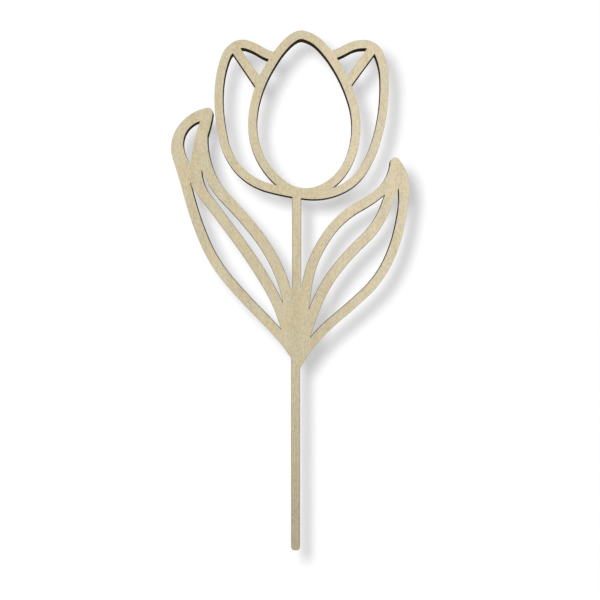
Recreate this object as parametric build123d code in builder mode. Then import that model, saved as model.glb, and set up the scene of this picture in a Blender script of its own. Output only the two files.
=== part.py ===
"""A flat tulip on a straight stake, pierced in one piece from a sheet of three-layer plywood.

Sizes are in millimetres. The tulip stands upright: X runs across it, Z up its stem, and its front
face looks along -Y. The origin is the middle of the stake's lower end, halfway through the sheet.
"""
import os
from math import sqrt

from build123d import *

# The sheet, layer by layer
face_veneer_thickness = 0.9
core_veneer_thickness = 1.1
glue_line_thickness = 0.05

# The beam narrows on its way through the sheet, so the cut leaves the core a little fuller than the
# front veneer on every side, and the back veneer fuller still
core_fullness = 0.08
back_fullness = 0.16

# The stake that is pushed into the soil, and the stem above it
stake_length = 93.6
stake_width = 4.15
stake_corner_radius = 1.25
stem_length = 82.9
stem_width = 4.25
stem_offset = 0.55

# The bloom, measured from the underside of its cup, and the bars that draw its petals
bloom_width = 86.9
bloom_height = 83.25
petal_bar = 4.25
cup_bar = 4.15
slanting_bar = 4.5

# The leaves, measured outwards from the stem's axis and upwards from the top of the stake, and the
# bars that draw their outer edges, their inner edges towards the stem, and their veins
left_leaf_reach = 62.7
left_leaf_height = 127.65
left_outer_bar = 4.75
left_inner_bar = 5.2
right_leaf_reach = 56.6
right_leaf_height = 102.5
right_outer_bar = 4.5
right_inner_bar = 4.8
vein_bar = 5.05

# The drawing. Each table holds points along the middle of one bar, as shares of the bloom or of
# the leaf that the bar belongs to: how far across from the stem's axis, then how far up. With the
# tip or notch that it starts from, an open bar has an odd number of points, and a closed one even.
middle_petal_shares = [
    (0.045, 0.974), (0.129, 0.928), (0.206, 0.830), (0.326, 0.598), (0.329, 0.302), (0.271, 0.158),
    (0.121, 0.041), (-0.078, 0.047), (-0.214, 0.249), (-0.287, 0.501), (-0.183, 0.735),
    (-0.125, 0.851), (-0.051, 0.934), (-0.009, 0.969),
]
cup_shares = [
    (-0.206, 0.879), (-0.285, 0.918), (-0.371, 0.917), (-0.410, 0.841), (-0.467, 0.685),
    (-0.446, 0.508), (-0.437, 0.342), (-0.362, 0.205), (-0.264, 0.090), (-0.161, 0.059),
    (0.057, -0.015), (0.269, 0.057), (0.405, 0.163), (0.456, 0.328), (0.520, 0.505), (0.505, 0.722),
    (0.479, 0.882), (0.386, 0.921), (0.307, 0.901),
]
left_tip_share = (0.709, 0.982)
left_outer_shares = [
    (0.830, 0.957), (0.917, 0.915), (0.965, 0.830), (0.952, 0.806), (0.840, 0.632), (0.732, 0.472),
    (0.544, 0.323), (0.306, 0.198), (0.150, 0.118), (0.006, 0.025),
]
left_inner_shares = [
    (0.756, 0.893), (0.750, 0.846), (0.688, 0.712), (0.563, 0.644), (0.342, 0.510), (0.137, 0.354),
    (0.073, 0.242), (0.030, 0.129),
]
left_vein_shares = [
    (0.755, 0.888), (0.788, 0.826), (0.779, 0.688), (0.727, 0.652), (0.480, 0.468), (0.219, 0.296),
    (0.115, 0.181), (0.045, 0.071),
]
right_tip_share = (0.872, 0.980)
right_inner_shares = [
    (0.831, 0.902), (0.732, 0.832), (0.692, 0.816), (0.392, 0.702), (0.223, 0.581), (0.200, 0.559),
    (0.084, 0.350), (0.034, 0.161),
]
right_vein_shares = [
    (0.875, 0.912), (0.850, 0.849), (0.792, 0.767), (0.758, 0.714), (0.356, 0.460), (0.219, 0.329),
    (0.051, 0.088),
]
right_outer_shares = [
    (0.958, 0.829), (0.955, 0.812), (0.907, 0.654), (0.805, 0.492), (0.543, 0.301), (0.334, 0.211),
    (0.135, 0.098), (-0.006, -0.015),
]

# Where the ends of the cup and the slanting bars meet the middle petal and the cup, as shares of
# the length of those lines, clockwise from the petal's top and from the cup's left end
left_notch_share = 0.907
right_notch_share = 0.082
left_slant_shares = (0.092, 0.826)
right_slant_shares = (0.905, 0.1635)

# The solid field of the left leaf's folded tip. Its back runs along the middles of the bars, and
# its two forks close the openings on either side of the vein.
fold_field_shares = [
    (0.636, 0.686), (0.700, 0.747), (0.740, 0.807), (0.752, 0.862), (0.749, 0.921), (0.709, 0.982),
    (0.880, 0.937), (0.944, 0.890), (0.963, 0.834), (0.935, 0.778), (0.895, 0.713),
]
outer_fork_shares = [(0.844, 0.706), (0.823, 0.679), (0.802, 0.665), (0.769, 0.648), (0.731, 0.626)]
vein_side_shares = [(0.714, 0.673), (0.766, 0.753), (0.762, 0.762)]
inner_side_shares = [(0.762, 0.762), (0.746, 0.742), (0.706, 0.704), (0.675, 0.683), (0.612, 0.647)]
crease_shares = [(0.770, 0.948), (0.819, 0.863), (0.846, 0.778)]
fold_edge_shares = [(0.846, 0.778), (0.884, 0.813), (0.891, 0.896), (0.883, 0.904), (0.770, 0.948)]

# The solid tip of the right leaf, and the solid calyx that every bar runs down into. The calyx is
# laid out in the left leaf's measures, so its right half lies at shares below zero.
right_field_shares = [
    (0.872, 0.980), (0.950, 0.893), (0.949, 0.784), (0.890, 0.690), (0.906, 0.800), (0.899, 0.868),
    (0.833, 0.815), (0.780, 0.814), (0.762, 0.846), (0.825, 0.893),
]
calyx_shares = [
    (0.058, 0.294), (-0.046, 0.302), (-0.078, 0.192), (-0.098, 0.094), (-0.026, 0.004),
    (0.030, 0.024), (0.101, 0.129), (0.085, 0.208),
]

# Half of a width, and the most of the stake's width that one rounded corner may take
half_share = 0.5
corner_limit_share = 0.45


def in_bloom(shares):
    """Points of the bloom at their real size and place."""
    base = stake_length + stem_length
    return [(stem_offset + across * bloom_width, base + up * bloom_height) for across, up in shares]


def in_left_leaf(shares):
    """Points of the left leaf at their real size and place."""
    return [
        (stem_offset - across * left_leaf_reach, stake_length + up * left_leaf_height)
        for across, up in shares
    ]


def in_right_leaf(shares):
    """Points of the right leaf at their real size and place."""
    return [
        (stem_offset + across * right_leaf_reach, stake_length + up * right_leaf_height)
        for across, up in shares
    ]


def curve(points, closed=False):
    """A chain of arcs that touch, close to the smooth line through the points.

    The chain passes through every other point, with two arcs from one of them to the next.
    """
    guide = Edge.make_spline([Vector(*point) for point in points], periodic=closed)
    stops = [Vector(*point) for point in points[::2]]
    if closed:
        stops.append(stops[0])
    with BuildLine() as line:
        for start, end in zip(stops, stops[1:]):
            leaving = guide.tangent_at(start)
            arriving = guide.tangent_at(end)
            chord = end - start
            along = chord.dot(leaving + arriving)
            square = chord.dot(chord)
            bend = 2 * (1 - leaving.dot(arriving))
            reach = square / (along + sqrt(along * along + bend * square))
            first_corner = start + leaving * reach
            second_corner = end - arriving * reach
            meeting = (first_corner + second_corner) * half_share
            TangentArc(start, meeting, tangent=leaving)
            TangentArc(meeting, end, tangent=second_corner - first_corner)
    return line.line


def bar(points, width, closed=False):
    """Adds a bar of one width along a smooth line, and returns that line."""
    middle = curve(points, closed)
    trace(middle, line_width=width)
    return middle


def pierced_outline(fullness):
    """The tulip's outline in one layer, with every bar fuller by the same amount on both sides."""
    spread = 2 * fullness
    with BuildSketch() as outline:
        # The middle petal is a closed bar, and the cup springs from its two shoulders
        petal = bar(in_bloom(middle_petal_shares), petal_bar + spread, closed=True)
        left_notch = petal @ left_notch_share
        right_notch = petal @ right_notch_share
        cup = bar([left_notch, *in_bloom(cup_shares), right_notch], cup_bar + spread)
        for cup_share, petal_share in (left_slant_shares, right_slant_shares):
            with BuildLine() as slant:
                Line(cup @ cup_share, petal @ petal_share)
            trace(slant.line, line_width=slanting_bar + spread)

        # The left leaf: two edges and a vein, all from one round tip
        left_tip = in_left_leaf([left_tip_share])
        bar(left_tip + in_left_leaf(left_outer_shares), left_outer_bar + spread)
        bar(left_tip + in_left_leaf(left_inner_shares), left_inner_bar + spread)
        bar(left_tip + in_left_leaf(left_vein_shares), vein_bar + spread)
        with Locations(left_tip):
            Circle(left_outer_bar * half_share + fullness)
        with BuildLine() as fold_field:
            Line(*in_left_leaf([vein_side_shares[0], outer_fork_shares[-1]]))
            add(curve(in_left_leaf(outer_fork_shares)))
            Polyline(*in_left_leaf([outer_fork_shares[0], *reversed(fold_field_shares)]))
            Line(*in_left_leaf([fold_field_shares[0], inner_side_shares[-1]]))
            add(curve(in_left_leaf(inner_side_shares)))
            add(curve(in_left_leaf(vein_side_shares)))
        make_face(fold_field.line)

        # The right leaf: two edges from one round tip, and a vein that ends in the solid tip
        right_tip = in_right_leaf([right_tip_share])
        bar(right_tip + in_right_leaf(right_inner_shares), right_inner_bar + spread)
        bar(right_tip + in_right_leaf(right_outer_shares), right_outer_bar + spread)
        bar(in_right_leaf(right_vein_shares), vein_bar + spread)
        with Locations(right_tip):
            Circle(right_inner_bar * half_share + fullness)
        with BuildLine() as right_field:
            Polyline(*in_right_leaf(right_field_shares), close=True)
        make_face(right_field.line)

        # The stem into the cup, the calyx, and the stake with its lower corners rounded
        stem_top = stake_length + stem_length + cup_bar * half_share
        with BuildLine() as stem:
            Line((stem_offset, stake_length), (stem_offset, stem_top))
        trace(stem.line, line_width=stem_width + spread)
        with BuildLine() as calyx:
            Polyline(*in_left_leaf(calyx_shares), close=True)
        make_face(calyx.line)
        Rectangle(stake_width + spread, stake_length + stake_width, align=(Align.CENTER, Align.MIN))
        corner_radius = min(stake_corner_radius, stake_width * corner_limit_share)
        fillet(outline.vertices().group_by(Axis.Y)[0], radius=corner_radius)

        # The half-moon opening that shows the leaf's tip folded over
        with BuildLine() as fold:
            add(curve(in_left_leaf(crease_shares)))
            add(curve(in_left_leaf(fold_edge_shares)))
        make_face(fold.line, mode=Mode.SUBTRACT)
    return outline.sketch


# The layers, from the front face backwards, each cut to its own fullness
front_outline = pierced_outline(0)
core_outline = pierced_outline(core_fullness)
back_outline = pierced_outline(back_fullness)
core_face = core_veneer_thickness * half_share
glue_face = core_face + glue_line_thickness

with BuildPart() as front_veneer:
    with BuildSketch(Plane.XZ.offset(glue_face)):
        add(front_outline)
    extrude(amount=face_veneer_thickness)
front_veneer.part.label = "front_veneer"

with BuildPart() as front_glue_line:
    with BuildSketch(Plane.XZ.offset(core_face)):
        add(core_outline)
    extrude(amount=glue_line_thickness)
front_glue_line.part.label = "front_glue_line"

with BuildPart() as core_veneer:
    with BuildSketch(Plane.XZ.offset(-core_face)):
        add(core_outline)
    extrude(amount=core_veneer_thickness)
core_veneer.part.label = "core_veneer"

with BuildPart() as back_glue_line:
    with BuildSketch(Plane.XZ.offset(-glue_face)):
        add(back_outline)
    extrude(amount=glue_line_thickness)
back_glue_line.part.label = "back_glue_line"

with BuildPart() as back_veneer:
    with BuildSketch(Plane.XZ.offset(-glue_face - face_veneer_thickness)):
        add(back_outline)
    extrude(amount=face_veneer_thickness)
back_veneer.part.label = "back_veneer"

os.makedirs("parts", exist_ok=True)
for layer in (front_veneer, front_glue_line, core_veneer, back_glue_line, back_veneer):
    export_step(layer.part, f"parts/{layer.part.label}.step")
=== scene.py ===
"""The looks of a flat tulip, pierced from a sheet of three-layer birch plywood, on a white sweep."""
import math

import bpy
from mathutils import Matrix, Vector


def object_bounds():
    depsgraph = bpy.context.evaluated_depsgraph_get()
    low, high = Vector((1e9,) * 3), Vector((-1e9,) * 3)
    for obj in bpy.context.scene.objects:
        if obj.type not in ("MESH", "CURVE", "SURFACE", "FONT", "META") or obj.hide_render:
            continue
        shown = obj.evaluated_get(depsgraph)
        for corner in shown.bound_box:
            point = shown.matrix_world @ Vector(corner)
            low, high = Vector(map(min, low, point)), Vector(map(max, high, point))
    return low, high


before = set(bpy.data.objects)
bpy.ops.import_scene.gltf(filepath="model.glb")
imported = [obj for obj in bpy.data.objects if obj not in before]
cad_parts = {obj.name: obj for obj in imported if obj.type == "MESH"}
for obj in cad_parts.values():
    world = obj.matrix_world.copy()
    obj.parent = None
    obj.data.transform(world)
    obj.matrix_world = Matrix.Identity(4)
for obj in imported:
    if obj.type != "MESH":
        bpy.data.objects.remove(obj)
cad_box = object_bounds()

# Face veneers
# The two outer layers of the sheet: rotary-cut birch, sanded and left bare, with the grain running
# up the stem. The laser toasts a narrow line along every edge and chars the wall that it cuts.
fine_detail = 3.0
band_size = (0.0067, 0.0067, 0.091)
band_roughness = 0.55
fibre_size = (0.00075, 0.00075, 0.0085)
fibre_roughness = 0.6
fibre_share = 0.5
hair_size = (0.00030, 0.00030, 0.0040)
hair_roughness = 0.6
hair_share = 0.4
mottle_size = (0.0009, 0.0009, 0.0012)
mottle_roughness = 0.7
mottle_share = 0.45
grain_tones = ((0.385, (0.467, 0.409, 0.276, 1)), (0.575, (0.641, 0.568, 0.396, 1)))
warmth_size = (0.0030, 0.0030, 0.0075)
warmth_detail = 2.0
warmth_rise = (0.41, 0.62)
warm_tint = (1.025, 0.988, 0.93, 1)
fleck_size = (0.00070, 0.00070, 0.0040)
fleck_detail = 1.0
fleck_rise = (0.70, 0.78)
fleck_share = 0.35
fleck_brown = (0.270, 0.205, 0.120, 1)
whole_height = 0.26
# Painted shade: how much darker the face is painted at each share of the height, as the light falls
# off downwards
painted_shade_height_tones = ((0.0, 0.65), (0.15, 0.77), (0.30, 0.925), (0.45, 0.95), (0.65, 0.985), (1.0, 1.02))
# Painted light: the right half of the bloom is painted paler, as if lit more brightly
painted_light_side = (-0.005, 0.035)
painted_light_height = (0.09, 0.15)
painted_light_tint = (1.105, 1.105, 1.155, 1)
toast_width = 0.0009
toast_samples = 6
toast_turn = (0.72, 0.98)
toast_share = 0.40
toast_front = (0.290, 0.270, 0.195, 1)
toast_back = (0.250, 0.190, 0.110, 1)
least_face_turn = 0.5
char_line_size = (0.00028, 0.0045, 0.00028)
char_tones = ((0.40, (0.007, 0.0035, 0.001, 1)), (0.68, (0.031, 0.018, 0.006, 1)))
char_roughness = 0.95
sanded_rise = (0.3, 0.7)
sanded_roughness = (0.80, 0.62)
wood_gloss = 0.08
fibre_relief = 0.00008
fibre_relief_strength = 0.5


def new_finish(name):
    """A new material, with its tree of nodes and the shader in it."""
    finish = bpy.data.materials.new(name)
    finish.use_nodes = True
    return finish, finish.node_tree, finish.node_tree.nodes["Principled BSDF"]


def feed(tree, value, socket):
    """Joins an input to a node that varies over the surface, or sets it to one value."""
    if isinstance(value, bpy.types.NodeSocket):
        tree.links.new(value, socket)
    else:
        socket.default_value = value


def split(tree, vector):
    """The X, Y and Z of a place or a direction."""
    node = tree.nodes.new("ShaderNodeSeparateXYZ")
    tree.links.new(vector, node.inputs["Vector"])
    return node.outputs


def streaks(tree, size, detail, roughness=0.5):
    """Cloudy streaks, with their size across the sheet, through it and up it in metres."""
    place = tree.nodes.new("ShaderNodeTexCoord")
    stretch = tree.nodes.new("ShaderNodeMapping")
    stretch.inputs["Scale"].default_value = [1 / length for length in size]
    cloud = tree.nodes.new("ShaderNodeTexNoise")
    cloud.inputs["Scale"].default_value = 1.0
    cloud.inputs["Detail"].default_value = detail
    cloud.inputs["Roughness"].default_value = roughness
    tree.links.new(place.outputs["Object"], stretch.inputs["Vector"])
    tree.links.new(stretch.outputs["Vector"], cloud.inputs["Vector"])
    return cloud.outputs["Fac"]


def blend(tree, share, first, second):
    """The first of two numbers, with a share of the second."""
    node = tree.nodes.new("ShaderNodeMix")
    node.data_type = "FLOAT"
    feed(tree, share, node.inputs[0])
    feed(tree, first, node.inputs[2])
    feed(tree, second, node.inputs[3])
    return node.outputs[0]


def stain(tree, share, wood, colour, how="MIX"):
    """The wood's colour with a share of another colour laid over it."""
    node = tree.nodes.new("ShaderNodeMix")
    node.data_type = "RGBA"
    node.blend_type = how
    feed(tree, share, node.inputs[0])
    feed(tree, wood, node.inputs[6])
    feed(tree, colour, node.inputs[7])
    return node.outputs[2]


def shades(tree, value, stops, curve="LINEAR"):
    """Colours picked along a scale: each stop is a place on it and the colour there."""
    node = tree.nodes.new("ShaderNodeValToRGB")
    ramp = node.color_ramp
    ramp.interpolation = curve
    for element, (position, colour) in zip(ramp.elements, (stops[0], stops[-1])):
        element.position = position
        element.color = colour
    for position, colour in stops[1:-1]:
        ramp.elements.new(position).color = colour
    tree.links.new(value, node.inputs["Fac"])
    return node.outputs["Color"]


def rise(tree, value, start, end, curve="SMOOTHSTEP"):
    """Nothing up to the start, then a rise to one at the end."""
    node = tree.nodes.new("ShaderNodeMapRange")
    node.interpolation_type = curve
    node.inputs["From Min"].default_value = start
    node.inputs["From Max"].default_value = end
    tree.links.new(value, node.inputs["Value"])
    return node.outputs["Result"]


def reckon(tree, operation, first, second=0.0):
    """One step of arithmetic on numbers that vary over the surface."""
    node = tree.nodes.new("ShaderNodeMath")
    node.operation = operation
    feed(tree, first, node.inputs[0])
    feed(tree, second, node.inputs[1])
    return node.outputs[0]


def emboss(tree, shader, height, depth, strength):
    """Raises the surface by a depth in metres where the height is one."""
    node = tree.nodes.new("ShaderNodeBump")
    node.inputs["Strength"].default_value = strength
    node.inputs["Distance"].default_value = depth
    tree.links.new(height, node.inputs["Height"])
    tree.links.new(node.outputs["Normal"], shader.inputs["Normal"])


def finish_layers(names, finish):
    """Gives layers of the sheet their finish."""
    for name in names:
        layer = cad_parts[name]
        layer.data.materials.clear()
        layer.data.materials.append(finish)


veneer, tree, shader = new_finish("birch_face_veneer")
place = tree.nodes.new("ShaderNodeTexCoord")
spot = split(tree, place.outputs["Object"])

# Growth bands and fibres along the grain, a fine mottle, slow turns towards a warmer white, and a
# few brown flecks
bands = streaks(tree, band_size, fine_detail, band_roughness)
fibres = streaks(tree, fibre_size, fine_detail, fibre_roughness)
hairs = streaks(tree, hair_size, fine_detail, hair_roughness)
mottle = streaks(tree, mottle_size, fine_detail, mottle_roughness)
grain = blend(tree, fibre_share, bands, fibres)
grain = blend(tree, hair_share, grain, hairs)
grain = blend(tree, mottle_share, grain, mottle)
wood = shades(tree, grain, grain_tones)
warmth = rise(tree, streaks(tree, warmth_size, warmth_detail), *warmth_rise)
wood = stain(tree, warmth, wood, warm_tint, "MULTIPLY")
flecks = rise(tree, streaks(tree, fleck_size, fleck_detail), *fleck_rise)
wood = stain(tree, reckon(tree, "MULTIPLY", flecks, fleck_share), wood, fleck_brown)

# Painted shade and painted light: the face is painted darker towards the end of the stake, where the
# light falls off, and paler over the right half of the bloom, where the light is brighter
height = rise(tree, spot["Z"], 0.0, whole_height, "LINEAR")
painted_shade_stops = [(share, (tone, tone, tone, 1)) for share, tone in painted_shade_height_tones]
wood = stain(tree, 1.0, wood, shades(tree, height, painted_shade_stops, "B_SPLINE"), "MULTIPLY")
rightward = rise(tree, spot["X"], *painted_light_side)
upward = rise(tree, spot["Z"], *painted_light_height)
wood = stain(tree, reckon(tree, "MULTIPLY", rightward, upward), wood, painted_light_tint, "MULTIPLY")

# The toasted line: where a rounded edge would turn away, the face is close to a cut
rounded = tree.nodes.new("ShaderNodeBevel")
rounded.samples = toast_samples
rounded.inputs["Radius"].default_value = toast_width
turned = reckon(tree, "ABSOLUTE", split(tree, rounded.outputs["Normal"])["Y"])
flat = rise(tree, turned, *toast_turn, "LINEAR")
at_edge = reckon(tree, "MULTIPLY", reckon(tree, "SUBTRACT", 1.0, flat), toast_share)
behind = reckon(tree, "GREATER_THAN", spot["Y"], 0.0)
wood = stain(tree, at_edge, wood, stain(tree, behind, toast_front, toast_back))

# The charred wall has fine lines across the sheet. A surface is a bare face where it looks outwards
# from the middle of the sheet, and is charred everywhere else.
char_lines = streaks(tree, char_line_size, fine_detail)
char = shades(tree, char_lines, char_tones)
looks = split(tree, place.outputs["Normal"])["Y"]
plain = reckon(tree, "GREATER_THAN", reckon(tree, "ABSOLUTE", looks), least_face_turn)
outward = reckon(tree, "MULTIPLY", looks, spot["Y"])
bare = reckon(tree, "MULTIPLY", plain, reckon(tree, "GREATER_THAN", outward, 0.0))
sanded = blend(tree, rise(tree, fibres, *sanded_rise, "LINEAR"), *sanded_roughness)
tree.links.new(stain(tree, bare, char, wood), shader.inputs["Base Color"])
tree.links.new(blend(tree, bare, char_roughness, sanded), shader.inputs["Roughness"])
shader.inputs["Specular IOR Level"].default_value = wood_gloss
emboss(tree, shader, blend(tree, bare, char_lines, hairs), fibre_relief, fibre_relief_strength)
finish_layers(("front_veneer", "back_veneer"), veneer)

# Core veneer
# The middle layer: the same wood with its grain across the stem, seen only as a band in the cut
# walls and as a hair of a ledge behind the front veneer. The laser has charred it less evenly.
core_line_size = (0.00038, 0.0011, 0.00029)
core_line_detail = 4.0
core_tones = ((0.38, (0.010, 0.005, 0.0015, 1)), (0.70, (0.056, 0.032, 0.011, 1)))
core_roughness = 0.90
core_relief = 0.0001
core_relief_strength = 0.6

core, tree, shader = new_finish("birch_core_veneer")
char_lines = streaks(tree, core_line_size, core_line_detail)
tree.links.new(shades(tree, char_lines, core_tones), shader.inputs["Base Color"])
shader.inputs["Roughness"].default_value = core_roughness
shader.inputs["Specular IOR Level"].default_value = wood_gloss
emboss(tree, shader, char_lines, core_relief, core_relief_strength)
finish_layers(("core_veneer",), core)

# Glue lines
# The two films of resin glue between the layers, pressed on hot. The laser burns them to a hard,
# slightly shiny black line in the cut wall.
bead_size = (0.00055, 0.00055, 0.00055)
bead_detail = 2.0
glue_tones = ((0.40, (0.006, 0.0035, 0.001, 1)), (0.65, (0.022, 0.013, 0.005, 1)))
glue_roughness = 0.45
glue_gloss = 0.15

glue, tree, shader = new_finish("resin_glue")
beads = streaks(tree, bead_size, bead_detail)
tree.links.new(shades(tree, beads, glue_tones), shader.inputs["Base Color"])
shader.inputs["Roughness"].default_value = glue_roughness
shader.inputs["Specular IOR Level"].default_value = glue_gloss
finish_layers(("front_glue_line", "back_glue_line"), glue)

# White sweep
# The plain white studio surface behind the tulip: one sheet of matt paper that hangs straight and
# curves forward into a floor far below.
wall_y = 0.40
floor_z = -0.90
sweep_half_width = 7.0
sweep_top = 2.2
sweep_front = -7.0
sweep_bend = 0.35
bend_steps = 24
quarter_turn = math.radians(90)
paper_white = (0.92, 0.92, 0.92, 1)
paper_roughness = 0.95
paper_gloss = 0.0


def stand(name, data, place=(0.0, 0.0, 0.0), turn=(0.0, 0.0, 0.0)):
    """A new object in the scene, at its place in metres and turned as it stands."""
    thing = bpy.data.objects.new(name, data)
    thing.location = place
    thing.rotation_euler = turn
    bpy.context.scene.collection.objects.link(thing)
    return thing


profile = [(wall_y, sweep_top)]
for step in range(bend_steps + 1):
    turn = quarter_turn * step / bend_steps
    along = wall_y - sweep_bend + sweep_bend * math.cos(turn)
    up = floor_z + sweep_bend - sweep_bend * math.sin(turn)
    profile.append((along, up))
profile.append((sweep_front, floor_z))
corners = [(side * sweep_half_width, y, z) for y, z in profile for side in (-1, 1)]
strips = [(2 * step, 2 * step + 1, 2 * step + 3, 2 * step + 2) for step in range(len(profile) - 1)]
sweep_mesh = bpy.data.meshes.new("sweep")
sweep_mesh.from_pydata(corners, [], strips)
sweep_mesh.polygons.foreach_set("use_smooth", [True] * len(strips))
sweep = stand("sweep", sweep_mesh)
paper, tree, shader = new_finish("white_paper")
shader.inputs["Base Color"].default_value = paper_white
shader.inputs["Roughness"].default_value = paper_roughness
shader.inputs["Specular IOR Level"].default_value = paper_gloss
sweep.data.materials.append(paper)

# Light
# An even white surround, and one small lamp up and to the left of the lens, whose soft shadow falls
# down and to the right on the sweep. Its beam is evened out to be as strong at the picture's rim.
camera_place = (-0.0003, -0.2675, 0.11665)
level = (quarter_turn, 0.0, 0.0)
surround_white = (1.0, 1.0, 1.0, 1)
surround_strength = 0.638
lamp_offset = (-0.0092, 0.0, 0.0093)
lamp_radius = 0.0068
lamp_cone = math.radians(150)
lamp_cone_softness = 0.7
lamp_strength = 18.7

surround = bpy.data.worlds.new("surround")
bpy.context.scene.world = surround
surround.use_nodes = True
background = surround.node_tree.nodes["Background"]
background.inputs["Color"].default_value = surround_white
background.inputs["Strength"].default_value = surround_strength

lamp = bpy.data.lights.new("lamp", "SPOT")
lamp.shadow_soft_size = lamp_radius
lamp.spot_size = lamp_cone
lamp.spot_blend = lamp_cone_softness
lamp.energy = 1.0
lamp.use_nodes = True
tree = lamp.node_tree
beam = tree.nodes.new("ShaderNodeTexCoord")
ahead = reckon(tree, "ABSOLUTE", split(tree, beam.outputs["Normal"])["Z"])
falloff = tree.nodes.new("ShaderNodeLightFalloff")
tree.links.new(reckon(tree, "DIVIDE", lamp_strength, ahead), falloff.inputs["Strength"])
tree.links.new(falloff.outputs["Constant"], tree.nodes["Emission"].inputs["Strength"])
stand("lamp", lamp, Vector(camera_place) + Vector(lamp_offset), level)

# Camera
# Level, square to the sheet, and close to it: the walls that show inside the openings, wider the
# further they lie from the middle of the picture, say how close.
picture_width = 0.300
picture_middle = (0.0022, 0.12515)
face_y = cad_box[0][1]
sensor_width = 36.0
nearest_seen = 0.01

camera = bpy.data.cameras.new("camera")
camera.sensor_width = sensor_width
camera.lens = sensor_width * (face_y - camera_place[1]) / picture_width
camera.shift_x = (picture_middle[0] - camera_place[0]) / picture_width
camera.shift_y = (picture_middle[1] - camera_place[2]) / picture_width
camera.clip_start = nearest_seen
bpy.context.scene.camera = stand("camera", camera, camera_place, level)
bpy.context.scene.view_settings.view_transform = "Standard"
